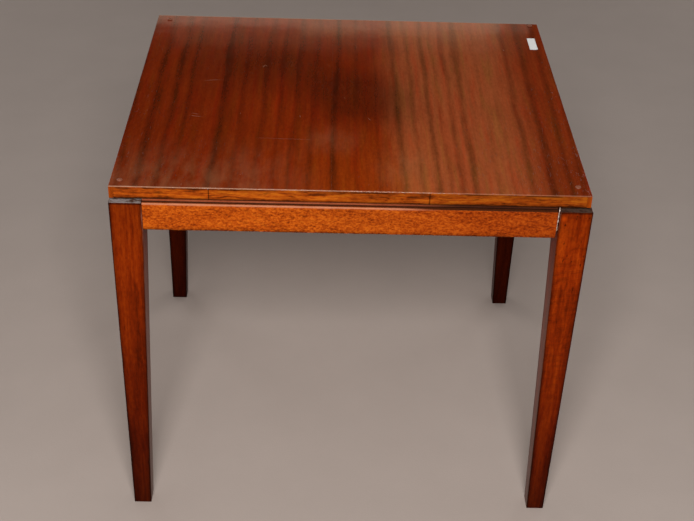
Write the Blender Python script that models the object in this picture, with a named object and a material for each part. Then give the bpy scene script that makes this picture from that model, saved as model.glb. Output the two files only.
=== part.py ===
"""Occasional table with a floating veneered top, square tapered legs and dowelled rails.

Metres, +Z up, +X to the right along the front, +Y to the back. The origin is on the floor under
the middle of the top. Every piece is its own object; the leg-to-rail joints are dowelled, and
the top is held by screws that come up through notched corner blocks.
"""

import math

import bmesh
import bpy
from mathutils import Matrix, Vector

# ---- Driving dimensions (metres) ----
TOP_WIDTH = 0.686
TOP_DEPTH = 0.610
HEIGHT = 0.610
TOP_THICK = 0.019
SHADOW_GAP = 0.0064

FRAME_PROUD_SIDE = 0.0013  # how far the legs stand out past the top, left and right
FRAME_PROUD_END = 0.0040  # the same at the front and the back
OPEN_JOINT = 0.0028  # the front rail's right-hand joint has opened by this much at its top
OPEN_LEG_LEAN = 0.0055  # so the foot of that leg stands this much further in than its top

LEG_TOP = 0.047
LEG_FOOT = 0.028
RAIL_HEIGHT = 0.044
RAIL_THICK = 0.020
RAIL_SETBACK = 0.0006  # rail face behind the leg face

VENEER = 0.0009
BACKING = 0.0006
LIPPING = 0.0064
LEAF_JOINTS = (-0.028, 0.077)  # butt joints between the leaves of the face veneer
LIPPING_JOINTS = (-0.202, 0.112)  # butt joints along the front edge

SPACER_WIDTH = 0.012
SPACER_INSET = 0.0025  # spacer face behind the edge of the top

DOWEL_RADIUS = 0.004
DOWEL_LENGTH = 0.044
DOWEL_IN_LEG = 0.020
DOWEL_SPREAD = 0.011  # each dowel of a pair above or below the middle of the rail
DOWEL_CHAMFER = 0.001
DOWEL_FLUTE = 0.0004

BLOCK_HEIGHT = 0.022
BLOCK_REACH = 0.058  # along each rail, past the leg

SCREW_RADIUS = 0.0021
SCREW_ROOT = 0.0015
SCREW_HEAD_RADIUS = 0.0040
SCREW_HEAD_HEIGHT = 0.0028
SCREW_RIM = 0.0003  # upright rim of the countersunk head
SCREW_TIP = 0.0002  # radius at the point
SCREW_POINT = 0.003  # length of the point
THREAD_PITCH = 0.0026
THREAD_RIDGES = 6
SCREW_SLOT = (0.0009, 0.0011)  # width, depth
SLOT_OVERRUN = 0.001  # how far the slot's cutter runs past the head
TOP_SCREW_LENGTH = 0.038
BLOCK_SCREW_LENGTH = 0.029
BLOCK_SCREW_ALONG = 0.033  # from the leg's face, along the rail
BLOCK_SCREW_GRIP = 0.016  # wood of the block under the screw's head
TOP_SCREW_SINK = 0.0006  # head of a top screw below the face of its block
TOP_SCREW_OUT = 0.002  # how far its hole goes on past the head

BUMPER_RADIUS = 0.0042
BUMPER_HEIGHT = 0.0022
BUMPER_SKIRT = 0.35  # share of the height that is upright, below the dome
DOME_STEPS = 6
# For each corner of the top: distance from its side edge, distance from its end edge.
BUMPERS = {
    "front_left": (0.014, 0.017),
    "front_right": (0.017, 0.024),
    "rear_left": (0.022, 0.019),
    "rear_right": (0.014, 0.009),
}

LABEL_SIZE = (0.014, 0.048, 0.0002)
LABEL_MIDDLE = (0.3235, 0.2160)

FIT = 0.0003  # gap kept between two pieces that touch
HOLE_PLAY = 0.00045  # gap round a dowel or a screw in its hole
ARRIS = 0.0012  # softened long edges of solid wood
SMALL_ARRIS = 0.0004  # edges of veneer, lipping and strips
DOWEL_SIDES = 16
SCREW_SIDES = 10
BUMPER_SIDES = 20

# ---- Places worked out from the driving dimensions ----
UNDERSIDE = HEIGHT - TOP_THICK
FRAME_TOP = UNDERSIDE - SHADOW_GAP
RAIL_BOTTOM = FRAME_TOP - RAIL_HEIGHT
FRAME_X = TOP_WIDTH / 2 + FRAME_PROUD_SIDE
FRAME_Y = TOP_DEPTH / 2 + FRAME_PROUD_END
CORNERS = {
    "front_left": (-1, -1),
    "front_right": (1, -1),
    "rear_left": (-1, 1),
    "rear_right": (1, 1),
}

# Colour, roughness and metallic value of each finish.
FINISHES = {
    "veneer": ((0.155, 0.040, 0.015), 0.22, 0.0),
    "lipping": ((0.340, 0.130, 0.022), 0.35, 0.0),
    "rail": ((0.420, 0.120, 0.025), 0.40, 0.0),
    "leg": ((0.200, 0.035, 0.010), 0.38, 0.0),
    "spacer": ((0.220, 0.070, 0.028), 0.55, 0.0),
    "core": ((0.520, 0.380, 0.230), 0.70, 0.0),
    "backing": ((0.300, 0.150, 0.070), 0.60, 0.0),
    "block": ((0.480, 0.320, 0.170), 0.70, 0.0),
    "dowel": ((0.620, 0.450, 0.270), 0.60, 0.0),
    "screw": ((0.420, 0.410, 0.400), 0.38, 1.0),
    "bumper": ((0.800, 0.790, 0.760), 0.15, 0.0),
    "label": ((0.860, 0.860, 0.840), 0.70, 0.0),
}


def clear_scene():
    for item in list(bpy.data.objects):
        bpy.data.objects.remove(item)


def finish(name):
    """The Principled material of one finish, made once and shared."""
    made = bpy.data.materials.get(name)
    if made is None:
        colour, roughness, metallic = FINISHES[name]
        made = bpy.data.materials.new(name)
        made.use_nodes = True
        shader = made.node_tree.nodes["Principled BSDF"]
        shader.inputs["Base Color"].default_value = (*colour, 1.0)
        shader.inputs["Roughness"].default_value = roughness
        shader.inputs["Metallic"].default_value = metallic
    return made


def add_object(name, shape, finish_name, place=None):
    """Turns a bmesh into a named object with a finish of its own, placed by a matrix."""
    bmesh.ops.recalc_face_normals(shape, faces=shape.faces)
    mesh = bpy.data.meshes.new(name)
    shape.to_mesh(mesh)
    shape.free()
    item = bpy.data.objects.new(name, mesh)
    bpy.context.scene.collection.objects.link(item)
    item.matrix_world = place or Matrix.Identity(4)
    if finish_name:
        mesh.materials.append(finish(finish_name))
    return item


def bevel(item, width, segments=2):
    """Rounds the arrises of a piece."""
    rounding = item.modifiers.new("arris", "BEVEL")
    rounding.width = width
    rounding.segments = segments
    rounding.limit_method = "ANGLE"
    rounding.angle_limit = math.radians(30)
    return item


def smooth(item, angle=40):
    """Shades a round piece smooth, keeping its real edges sharp."""
    item.data.shade_smooth()
    item.data.set_sharp_from_angle(angle=math.radians(angle))
    return item


def cut(target, cutter):
    """Cuts a cutter's shape out of a piece."""
    hole = target.modifiers.new("cut", "BOOLEAN")
    hole.operation = "DIFFERENCE"
    hole.solver = "EXACT"
    hole.object = cutter


def as_cutter(item):
    item.hide_render = True
    item.display_type = "WIRE"
    return item


def box_shape(low, high):
    """A closed box between two corners."""
    shape = bmesh.new()
    bmesh.ops.create_cube(shape, size=1.0)
    size = Vector(high) - Vector(low)
    middle = (Vector(high) + Vector(low)) / 2
    bmesh.ops.scale(shape, vec=size, verts=shape.verts)
    bmesh.ops.translate(shape, vec=middle, verts=shape.verts)
    return shape


def round_top_edges(shape, xs, ys, width, segments=2):
    """Rounds the upper edges of a box that lie along any of the given x or y positions."""
    upper = max(v.co.z for v in shape.verts)

    def chosen(edge):
        a, b = (v.co for v in edge.verts)
        if abs(a.z - upper) > FIT / 10 or abs(b.z - upper) > FIT / 10:
            return False
        along_y = any(abs(a.x - x) < FIT / 10 and abs(b.x - x) < FIT / 10 for x in xs)
        along_x = any(abs(a.y - y) < FIT / 10 and abs(b.y - y) < FIT / 10 for y in ys)
        return along_x or along_y

    edges = [edge for edge in shape.edges if chosen(edge)]
    bmesh.ops.bevel(shape, geom=edges, offset=width, segments=segments, affect="EDGES")


def prism_shape(outline, bottom, top):
    """A closed prism on a flat outline."""
    shape = bmesh.new()
    lower = [shape.verts.new((x, y, bottom)) for x, y in outline]
    upper = [shape.verts.new((x, y, top)) for x, y in outline]
    shape.faces.new(lower)
    shape.faces.new(upper)
    for i in range(len(outline)):
        j = (i + 1) % len(outline)
        shape.faces.new((lower[i], lower[j], upper[j], upper[i]))
    return shape


def turned_shape(profile, sides, flute=0.0):
    """A closed turned solid about Z. The profile runs from one end to the other as (radius, z).

    Every second side of the middle stretch is set in by the flute depth.
    """
    shape = bmesh.new()
    rings = []
    for step, (radius, z) in enumerate(profile):
        fluted = flute if 0 < step < len(profile) - 1 else 0.0
        ring = []
        for i in range(sides):
            angle = 2 * math.pi * i / sides
            r = radius - fluted * (i % 2)
            ring.append(shape.verts.new((r * math.cos(angle), r * math.sin(angle), z)))
        rings.append(ring)
    for lower, upper in zip(rings, rings[1:]):
        for i in range(sides):
            j = (i + 1) % sides
            shape.faces.new((lower[i], lower[j], upper[j], upper[i]))
    shape.faces.new(rings[0])
    shape.faces.new(rings[-1])
    return shape


def pointing(middle, direction):
    """A matrix that puts a shape at a point, with its own Z along a direction."""
    turn = Vector(direction).to_track_quat("Z", "Y").to_matrix().to_4x4()
    return Matrix.Translation(Vector(middle)) @ turn


# ---- The top ----
def lengths(start, joints, stop):
    """Three lengths laid end to end, with the fitting gap shared at each joint between them."""
    left, right = joints
    return (
        ("left", start, left - FIT / 2),
        ("middle", left + FIT / 2, right - FIT / 2),
        ("right", right + FIT / 2, stop),
    )


def add_top():
    """Core, lippings, face veneer and backing veneer. Returns the pieces that screws go into."""
    x, y = TOP_WIDTH / 2, TOP_DEPTH / 2
    inner_x, inner_y = x - LIPPING, y - LIPPING
    fill_x, fill_y = inner_x - FIT, inner_y - FIT
    under_veneer = HEIGHT - VENEER - FIT

    for leaf, start, stop in lengths(-x, LEAF_JOINTS, x):
        sheet = box_shape((start, -y, HEIGHT - VENEER), (stop, y, HEIGHT))
        outer = [v for v in (-x, x) if v in (start, stop)]
        round_top_edges(sheet, outer, (-y, y), SMALL_ARRIS)
        add_object("top_veneer_" + leaf, sheet, "veneer")

    for side, edge in (("left", -1), ("right", 1)):
        low, high = sorted((edge * x, edge * inner_x))
        strip = box_shape((low, -y, UNDERSIDE), (high, y, under_veneer))
        bevel(add_object(side + "_lipping", strip, "lipping"), SMALL_ARRIS)
    for part, start, stop in lengths(-fill_x, LIPPING_JOINTS, fill_x):
        strip = box_shape((start, -y, UNDERSIDE), (stop, -inner_y, under_veneer))
        bevel(add_object("front_lipping_" + part, strip, "lipping"), SMALL_ARRIS)
    strip = box_shape((-fill_x, inner_y, UNDERSIDE), (fill_x, y, under_veneer))
    bevel(add_object("rear_lipping", strip, "lipping"), SMALL_ARRIS)

    core_low = (-fill_x, -fill_y, UNDERSIDE + BACKING + FIT)
    core = add_object("top_core", box_shape(core_low, (fill_x, fill_y, under_veneer)), "core")
    sheet = box_shape((-fill_x, -fill_y, UNDERSIDE), (fill_x, fill_y, UNDERSIDE + BACKING))
    backing = add_object("backing_veneer", sheet, "backing")
    return core, backing


def add_bumpers():
    """Four small clear domes near the corners of the top."""
    skirt = BUMPER_SKIRT * BUMPER_HEIGHT
    profile = [(BUMPER_RADIUS, 0.0), (BUMPER_RADIUS, skirt)]
    for i in range(1, DOME_STEPS):
        angle = math.pi / 2 * i / DOME_STEPS
        rise = (BUMPER_HEIGHT - skirt) * math.sin(angle)
        profile.append((BUMPER_RADIUS * math.cos(angle), skirt + rise))
    for corner, (sx, sy) in CORNERS.items():
        from_side, from_end = BUMPERS[corner]
        x = sx * (TOP_WIDTH / 2 - from_side)
        y = sy * (TOP_DEPTH / 2 - from_end)
        place = Matrix.Translation((x, y, HEIGHT + FIT))
        smooth(add_object("bumper_" + corner, turned_shape(profile, BUMPER_SIDES), "bumper", place), 50)


def add_label():
    """A blank paper label."""
    half = Vector(LABEL_SIZE) / 2
    place = Matrix.Translation((*LABEL_MIDDLE, HEIGHT + FIT + half.z))
    add_object("blank_label", box_shape(-half, half), "label", place)


# ---- The frame ----
def add_leg(corner):
    """A leg, square at the top, tapered on its two inner faces below the rails.

    The leg at the opened joint has slipped outwards at its top and leans in at its foot.
    """
    sx, sy = CORNERS[corner]
    opened = corner == "front_right"
    slip, lean = (OPEN_JOINT, OPEN_LEG_LEAN) if opened else (0.0, 0.0)
    shape = bmesh.new()
    rings = []
    for size, z in ((LEG_FOOT, 0.0), (LEG_TOP, RAIL_BOTTOM), (LEG_TOP, FRAME_TOP)):
        leaning = -lean * (1 - z / FRAME_TOP)
        outline = ((0, 0), (-sx * size, 0), (-sx * size, -sy * size), (0, -sy * size))
        rings.append([shape.verts.new((x + leaning, y, z)) for x, y in outline])
    for lower, upper in zip(rings, rings[1:]):
        for i in range(4):
            j = (i + 1) % 4
            shape.faces.new((lower[i], lower[j], upper[j], upper[i]))
    shape.faces.new(rings[0])
    shape.faces.new(rings[-1])
    place = Matrix.Translation((sx * FRAME_X + slip, sy * FRAME_Y, 0.0))
    return bevel(add_object("leg_" + corner, shape, "leg", place), ARRIS)


def add_rail(name, length, middle, turn):
    """A rail and the spacer strip on it, made along X with the outer face towards -Y."""
    half = length / 2
    place = Matrix.Translation(middle) @ Matrix.Rotation(turn, 4, "Z")
    rail = box_shape((-half, 0, RAIL_BOTTOM), (half, RAIL_THICK, FRAME_TOP))
    return bevel(add_object("rail_" + name, rail, "rail", place), ARRIS), place


def add_spacer(name, length, inset, place):
    """The strip that holds the top off a rail."""
    half = length / 2
    low = (-half, inset, FRAME_TOP + FIT)
    high = (half, inset + SPACER_WIDTH, UNDERSIDE - FIT)
    bevel(add_object("spacer_" + name, box_shape(low, high), "spacer", place), SMALL_ARRIS)


def add_dowels(name, leg, rail, place, end):
    """Two dowels from the end of a rail into a leg, with the holes they sit in."""
    half = DOWEL_LENGTH / 2
    tip = DOWEL_RADIUS - DOWEL_CHAMFER
    profile = [(tip, -half), (DOWEL_RADIUS, -half + DOWEL_CHAMFER)]
    profile += [(DOWEL_RADIUS, half - DOWEL_CHAMFER), (tip, half)]
    hole_radius = DOWEL_RADIUS + HOLE_PLAY
    bore = [(hole_radius, -half - FIT), (hole_radius, half + FIT)]
    along = end + math.copysign(DOWEL_IN_LEG - half, end)
    for level, rise in (("upper", DOWEL_SPREAD), ("lower", -DOWEL_SPREAD)):
        middle = (along, RAIL_THICK / 2, (RAIL_BOTTOM + FRAME_TOP) / 2 + rise)
        where = place @ pointing(middle, (1, 0, 0))
        shape = turned_shape(profile, DOWEL_SIDES, flute=DOWEL_FLUTE)
        smooth(add_object(f"dowel_{name}_{level}", shape, "dowel", where), 60)
        hole = turned_shape(bore, DOWEL_SIDES)
        cutter = as_cutter(add_object(f"dowel_hole_{name}_{level}", hole, None, where))
        cut(leg, cutter)
        cut(rail, cutter)


def add_frame():
    """Legs, rails, spacers and dowels. Returns the rails by side."""
    legs = {corner: add_leg(corner) for corner in CORNERS}
    face_x, face_y = FRAME_X - RAIL_SETBACK, FRAME_Y - RAIL_SETBACK
    across = 2 * (FRAME_X - LEG_TOP - FIT)
    along = 2 * (FRAME_Y - LEG_TOP - FIT)
    swing = math.atan2(OPEN_JOINT, along + LEG_TOP)  # the right rail follows the leg that moved
    # Name: length, middle of the outer face, turn about Z, legs at the low and the high end,
    # and how far the frame stands out past the top on that side.
    sides = {
        "front": (across, (0, -face_y, 0), 0.0, "front_left", "front_right", FRAME_PROUD_END),
        "right": (
            along,
            (face_x + OPEN_JOINT / 2, 0, 0),
            math.pi / 2 + swing,
            "front_right",
            "rear_right",
            FRAME_PROUD_SIDE,
        ),
        "rear": (across, (0, face_y, 0), math.pi, "rear_right", "rear_left", FRAME_PROUD_END),
        "left": (along, (-face_x, 0, 0), -math.pi / 2, "rear_left", "front_left", FRAME_PROUD_SIDE),
    }
    rails = {}
    for name, (length, middle, turn, low_leg, high_leg, proud) in sides.items():
        rail, place = add_rail(name, length, middle, turn)
        add_spacer(name, length, proud - RAIL_SETBACK + SPACER_INSET, place)
        add_dowels(f"{name}_at_{low_leg}", legs[low_leg], rail, place, -length / 2)
        add_dowels(f"{name}_at_{high_leg}", legs[high_leg], rail, place, length / 2)
        rails[name] = rail
    return rails


# ---- Corner blocks and screws ----
def screw_profile(length):
    """Root, ridges of the thread, plain shank and countersunk head, from the point upwards."""
    profile = [(SCREW_TIP, 0.0), (SCREW_ROOT, SCREW_POINT)]
    for i in range(THREAD_RIDGES):
        z = SCREW_POINT + THREAD_PITCH * i
        crest, root = z + THREAD_PITCH * 0.45, z + THREAD_PITCH * 0.9
        profile += [(SCREW_RADIUS, crest), (SCREW_ROOT, root)]
    shank = SCREW_POINT + THREAD_PITCH * (THREAD_RIDGES + 0.25)
    profile += [(SCREW_RADIUS, shank), (SCREW_RADIUS, length - SCREW_HEAD_HEIGHT)]
    profile += [(SCREW_HEAD_RADIUS, length - SCREW_RIM), (SCREW_HEAD_RADIUS, length)]
    return profile


def hole_profile(length, way_out):
    """The clear hole round a screw, with its countersink, which goes on past the head."""
    clear, wide = SCREW_RADIUS + HOLE_PLAY, SCREW_HEAD_RADIUS + HOLE_PLAY
    return (
        (clear, -FIT),
        (clear, length - SCREW_HEAD_HEIGHT - FIT),
        (wide, length - SCREW_RIM - FIT),
        (wide, length + way_out),
    )


def add_screw(name, length, head, inward, into, way_out):
    """A slotted wood screw with its head's face at a point, and the holes it needs.

    The way out is how far the hole goes on past the head.
    """
    place = pointing(Vector(head) + Vector(inward) * length, -Vector(inward))
    screw = add_object(name, turned_shape(screw_profile(length), SCREW_SIDES), "screw", place)
    smooth(screw, 30)
    width, depth = SCREW_SLOT
    reach = SCREW_HEAD_RADIUS + SLOT_OVERRUN
    low, high = (-reach, -width / 2, length - depth), (reach, width / 2, length + SLOT_OVERRUN)
    cut(screw, as_cutter(add_object("slot_" + name, box_shape(low, high), None, place)))
    hole = turned_shape(hole_profile(length, way_out), SCREW_SIDES)
    cutter = as_cutter(add_object("hole_" + name, hole, None, place))
    for piece in into:
        cut(piece, cutter)


def add_corner(corner, rails, top_pieces):
    """A corner block notched round its leg, with two rail screws and one top screw."""
    sx, sy = CORNERS[corner]
    near = RAIL_SETBACK + RAIL_THICK + FIT  # inner face of a rail, from the outer corner
    leg = LEG_TOP + FIT
    far = LEG_TOP + BLOCK_REACH

    def spot(u, v, z):
        return Vector((sx * (FRAME_X - u), sy * (FRAME_Y - v), z))

    outline = ((leg, near), (far, near), (near, far), (near, leg), (leg, leg))
    bottom = FRAME_TOP - BLOCK_HEIGHT
    flat = [tuple(spot(u, v, 0))[:2] for u, v in outline]
    block = add_object("corner_block_" + corner, prism_shape(flat, bottom, FRAME_TOP), "block")
    bevel(block, SMALL_ARRIS, segments=1)

    end_rail = rails["front" if sy < 0 else "rear"]
    side_rail = rails["left" if sx < 0 else "right"]
    level = bottom + BLOCK_HEIGHT / 2
    beside = LEG_TOP + BLOCK_SCREW_ALONG
    head = near + BLOCK_SCREW_GRIP
    add_screw(
        f"block_screw_{corner}_end",
        BLOCK_SCREW_LENGTH,
        spot(beside, head, level),
        (0, sy, 0),
        (block, end_rail),
        BLOCK_REACH,
    )
    add_screw(
        f"block_screw_{corner}_side",
        BLOCK_SCREW_LENGTH,
        spot(head, beside, level),
        (sx, 0, 0),
        (block, side_rail),
        BLOCK_REACH,
    )
    middle = (leg + (near + far) / 2) / 2
    add_screw(
        "top_screw_" + corner,
        TOP_SCREW_LENGTH,
        spot(middle, middle, bottom + TOP_SCREW_SINK),
        (0, 0, 1),
        (block, *top_pieces),
        TOP_SCREW_OUT,
    )


def build():
    clear_scene()
    top_pieces = add_top()
    add_bumpers()
    add_label()
    rails = add_frame()
    for corner in CORNERS:
        add_corner(corner, rails, top_pieces)


build()
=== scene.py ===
"""The looks of the occasional table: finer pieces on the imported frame, finishes, light and camera.

Metres, +Z up, +X to the right along the front, +Y to the back. Every mesh is made in place, so an
object's own coordinates are the table's, and each finish is laid out in them.
"""

import math

import bmesh
import bpy
from mathutils import Euler, Matrix, Vector, noise


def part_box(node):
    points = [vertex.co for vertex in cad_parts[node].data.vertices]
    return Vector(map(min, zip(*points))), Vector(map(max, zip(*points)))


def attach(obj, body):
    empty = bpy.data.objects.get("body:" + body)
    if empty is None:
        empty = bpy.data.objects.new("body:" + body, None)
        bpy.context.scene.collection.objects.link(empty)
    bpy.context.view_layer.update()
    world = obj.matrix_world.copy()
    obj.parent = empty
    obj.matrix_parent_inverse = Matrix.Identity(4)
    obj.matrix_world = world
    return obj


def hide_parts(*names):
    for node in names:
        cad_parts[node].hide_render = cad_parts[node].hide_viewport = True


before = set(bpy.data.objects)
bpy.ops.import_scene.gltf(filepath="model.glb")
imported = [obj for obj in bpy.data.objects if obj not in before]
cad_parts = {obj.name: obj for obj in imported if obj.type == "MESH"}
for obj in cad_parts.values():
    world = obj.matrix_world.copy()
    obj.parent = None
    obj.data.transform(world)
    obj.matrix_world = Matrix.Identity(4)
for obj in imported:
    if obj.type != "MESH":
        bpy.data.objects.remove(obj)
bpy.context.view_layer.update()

CORNERS = ("front_left", "front_right", "rear_left", "rear_right")
SIDES = ("front", "right", "rear", "left")
LEAVES = ("left", "middle", "right")

# ---- Places read from the frame ----
TOP_LOW, TOP_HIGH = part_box("top_core")
DECK_LOW = Vector((*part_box("top_veneer_left")[0].xy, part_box("backing_veneer")[0].z))
DECK_HIGH = Vector(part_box("top_veneer_right")[1])
FRAME_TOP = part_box("rail_front")[1].z
RAIL_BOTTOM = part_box("rail_front")[0].z

# ---- Making of the finer pieces (metres) ----
STATION = 0.008  # spacing of the rings along a bar
ARRIS_STEPS = 4  # segments round a softened edge
LEG_ARRIS = 0.0011
RAIL_ARRIS = 0.0010
STRIP_ARRIS = 0.0004
VENEER_ARRIS = 0.0005
SHARP_ARRIS = 0.00006
SHOULDERS = (0.0015, 0.005, 0.012)  # rows of points beside the edges of wide faces
EDGE_FADE = 0.004  # how fast the edge mask fades into a face
DRILL_PLAY = 0.00045  # round a dowel
SCREW_BORE = 0.0026
THREAD_PITCH = 0.0024
POINT_LENGTH = 0.0045  # over which a screw's thread narrows to its tip
ROUND_SIDES = 32
DRILL_SIDES = 24
SMOOTH_BELOW = math.radians(35)
LEVEL_REACH = 0.0016  # vertices this near a height belong to it
LEAF_CLOSING = 0.00013  # each leaf of veneer is this much wider at its joints than in the frame

# ---- Surroundings (metres) ----
FLOOR_HALF = 7.0
STRIP_PLACE = 0.62  # along Y, behind the table's back edge
LAMP_HEIGHT = 1.5  # of the four fill lamps

# ---- Cyclic axes: a bar along one axis has its section in the next two ----
ALONG = {
    "x": Matrix(((0, 0, 1, 0), (1, 0, 0, 0), (0, 1, 0, 0), (0, 0, 0, 1))),
    "y": Matrix(((0, 1, 0, 0), (0, 0, 1, 0), (1, 0, 0, 0), (0, 0, 0, 1))),
    "z": Matrix.Identity(4),
}


# ======== Finishes ========
class Wire:
    """A number that changes over a surface. Arithmetic on it adds Math nodes."""

    def __init__(self, look, socket):
        self.look = look
        self.socket = socket

    def math(self, operation, *others, clamp=False):
        node = self.look.add("ShaderNodeMath", operation=operation, use_clamp=clamp)
        for slot, value in zip(node.inputs, (self, *others)):
            self.look.feed(slot, value)
        return Wire(self.look, node.outputs[0])

    def __add__(self, other):
        return self.math("ADD", other)

    __radd__ = __add__

    def __mul__(self, other):
        return self.math("MULTIPLY", other)

    __rmul__ = __mul__

    def __sub__(self, other):
        return self.math("SUBTRACT", other)

    def __rsub__(self, other):
        return (self * -1.0) + other

    def __abs__(self):
        return self.math("ABSOLUTE")

    def sine(self):
        return self.math("SINE")

    def wave(self):
        """A sine from 0 to 1."""
        return self.sine() * 0.5 + 0.5

    def clamped(self):
        return self.math("ADD", 0.0, clamp=True)

    def step(self, low, high):
        """Rises smoothly from 0 at low to 1 at high; with low above high it falls."""
        node = self.look.add("ShaderNodeMapRange", interpolation_type="SMOOTHSTEP")
        rising = low < high
        bounds = (low, high, 0.0, 1.0) if rising else (high, low, 1.0, 0.0)
        self.look.feed(node.inputs[0], self)
        for slot, value in zip(node.inputs[1:5], bounds):
            slot.default_value = value
        return Wire(self.look, node.outputs[0])

    def hump(self, middle, half):
        """One at the middle, fading smoothly to 0 a half width to either side."""
        return abs(self - middle).step(half, 0.0)

    def ramp(self, stops, easing="EASE"):
        """A value looked up along a list of (position, value) stops."""
        node = self.look.add("ShaderNodeValToRGB")
        node.color_ramp.interpolation = easing
        elements = node.color_ramp.elements
        while len(elements) < len(stops):
            elements.new(0.5)
        for element, (position, value) in zip(elements, stops):
            element.position = position
            colour = value if isinstance(value, tuple) else (value,) * 3
            element.color = (*colour, 1.0)
        self.look.feed(node.inputs[0], self)
        return Wire(self.look, node.outputs[0])


class Look:
    """A finish in the making: a Principled shader, its colour so far and the nodes behind it."""

    def __init__(self, name, **constants):
        self.material = bpy.data.materials.new(name)
        self.material.use_nodes = True
        self.tree = self.material.node_tree
        self.shader = self.tree.nodes["Principled BSDF"]
        self.colour = None
        for label, value in constants.items():
            self.shader.inputs[label.replace("_", " ")].default_value = value
        self.position = self.add("ShaderNodeTexCoord").outputs["Object"]
        parts = self.add("ShaderNodeSeparateXYZ")
        self.tree.links.new(self.position, parts.inputs[0])
        self.x, self.y, self.z = (Wire(self, output) for output in parts.outputs)

    def add(self, kind, **settings):
        node = self.tree.nodes.new(kind)
        for label, value in settings.items():
            setattr(node, label, value)
        return node

    def feed(self, slot, value):
        if isinstance(value, Wire):
            self.tree.links.new(value.socket, slot)
        else:
            slot.default_value = value

    def noise(self, scale, detail=3.0, coarse=0.55, shift=0.0, warp=None):
        """Smooth noise about 0.5. The scale is features per metre, or three along x, y and z."""
        spread = self.add("ShaderNodeVectorMath", operation="MULTIPLY_ADD")
        self.tree.links.new(self.position, spread.inputs[0])
        spread.inputs[1].default_value = scale if isinstance(scale, tuple) else (scale,) * 3
        spread.inputs[2].default_value = (shift, shift * 0.7, shift * 1.3)
        place = spread.outputs[0]
        if warp is not None:
            moved = self.add("ShaderNodeVectorMath", operation="ADD")
            self.tree.links.new(place, moved.inputs[0])
            self.tree.links.new(self.joined(*warp), moved.inputs[1])
            place = moved.outputs[0]
        cloud = self.add("ShaderNodeTexNoise")
        self.tree.links.new(place, cloud.inputs["Vector"])
        cloud.inputs["Scale"].default_value = 1.0
        cloud.inputs["Detail"].default_value = detail
        cloud.inputs["Roughness"].default_value = coarse
        return Wire(self, cloud.outputs["Fac"])

    def joined(self, *parts):
        """The socket of a vector made from three wires or numbers."""
        node = self.add("ShaderNodeCombineXYZ")
        for slot, value in zip(node.inputs, parts):
            self.feed(slot, value)
        return node.outputs[0]

    def patch(self, across, along):
        """A soft patch seen from above, from (middle, half width) in x and in y."""
        return self.x.hump(*across) * self.y.hump(*along)

    def attribute(self, name):
        """A value kept in the mesh."""
        node = self.add("ShaderNodeAttribute", attribute_name=name)
        return Wire(self, node.outputs["Fac"])

    def blend(self, first, second, amount, kind="MIX"):
        """A colour between two colours, each a tuple or a wire."""
        node = self.add("ShaderNodeMix", data_type="RGBA", blend_type=kind, clamp_factor=True)
        self.feed(node.inputs[0], amount)
        for slot, value in ((node.inputs[6], first), (node.inputs[7], second)):
            self.feed(slot, value if isinstance(value, Wire) else (*value, 1.0))
        return Wire(self, node.outputs[2])

    def paint(self, colour, amount):
        """Lays a colour over the colour so far, where the amount is 1."""
        self.colour = self.blend(self.colour, colour, amount)

    def tint(self, colour, amount):
        """Multiplies the colour so far by another, where the amount is 1."""
        self.colour = self.blend(self.colour, colour, amount, "MULTIPLY")

    def shade(self, level):
        """Makes the colour so far lighter or darker by a wire."""
        node = self.add("ShaderNodeVectorMath", operation="SCALE")
        self.feed(node.inputs[0], self.colour)
        self.feed(node.inputs["Scale"], level)
        self.colour = Wire(self, node.outputs[0])

    def finish(self, roughness, relief, depth):
        """Wires up the shader. The relief runs from 0 to 1 and is that deep, in metres."""
        self.feed(self.shader.inputs["Base Color"], self.colour)
        self.feed(self.shader.inputs["Roughness"], roughness)
        bump = self.add("ShaderNodeBump")
        bump.inputs["Strength"].default_value = 1.0
        bump.inputs["Distance"].default_value = depth
        self.feed(bump.inputs["Height"], relief)
        self.tree.links.new(bump.outputs["Normal"], self.shader.inputs["Normal"])
        return self.material


def along_grain(axis, along, across):
    """Noise scales for wood whose grain runs along an axis."""
    return tuple(along if axis == name else across for name in "xyz")


LACQUER = {"IOR": 1.5, "Specular_IOR_Level": 0.5}
SATIN = {"IOR": 1.5, "Specular_IOR_Level": 0.18, "Specular_Tint": (1.0, 0.42, 0.16, 1.0)}
WORN_SATIN = {**SATIN, "Specular_IOR_Level": 0.08}
RAW = {"IOR": 1.5, "Specular_IOR_Level": 0.10}

# The floor glows faintly far from the table, so that it runs into the wall behind.
FAR_COLOUR = (0.46, 0.40, 0.37)
FAR_GLOW = 0.32

# Where the dark ribbons lie at the front edge, from the left side of the top, and how dark each
# is. Each leaf leans: its stripes shift by these distances, left and right, from front to back.
RIBBONS = (
    (0.007, 0.6), (0.037, 1.0), (0.065, 0.9), (0.086, 0.6), (0.139, 1.0), (0.170, 0.4), (0.203, 0.5),
    (0.228, 0.4), (0.252, 0.5), (0.280, 0.5), (0.314, 1.0), (0.350, 0.5), (0.385, 0.4), (0.421, 1.0),
    (0.446, 0.6), (0.471, 0.9), (0.487, 0.4), (0.503, 0.7), (0.524, 0.9), (0.556, 0.3), (0.578, 0.3),
    (0.604, 0.7), (0.633, 1.0), (0.659, 0.8), (0.677, 0.6),
)
LEANS = {"left": (-0.007, 0.014), "middle": (0.014, -0.007), "right": (-0.007, 0.014)}
RIBBON_LEVELS = (0.70, 0.86)  # the light wood beside a dark ribbon, near and far side
RIBBON_HALF = 0.0105  # half the width of the darkest ribbons; pale ones are narrower
RIBBONS_PER_RAMP = 9  # a colour ramp holds no more than 32 stops
STRIPE_NEUTRAL = 0.72  # a level that makes the figure neither darker nor lighter

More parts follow.
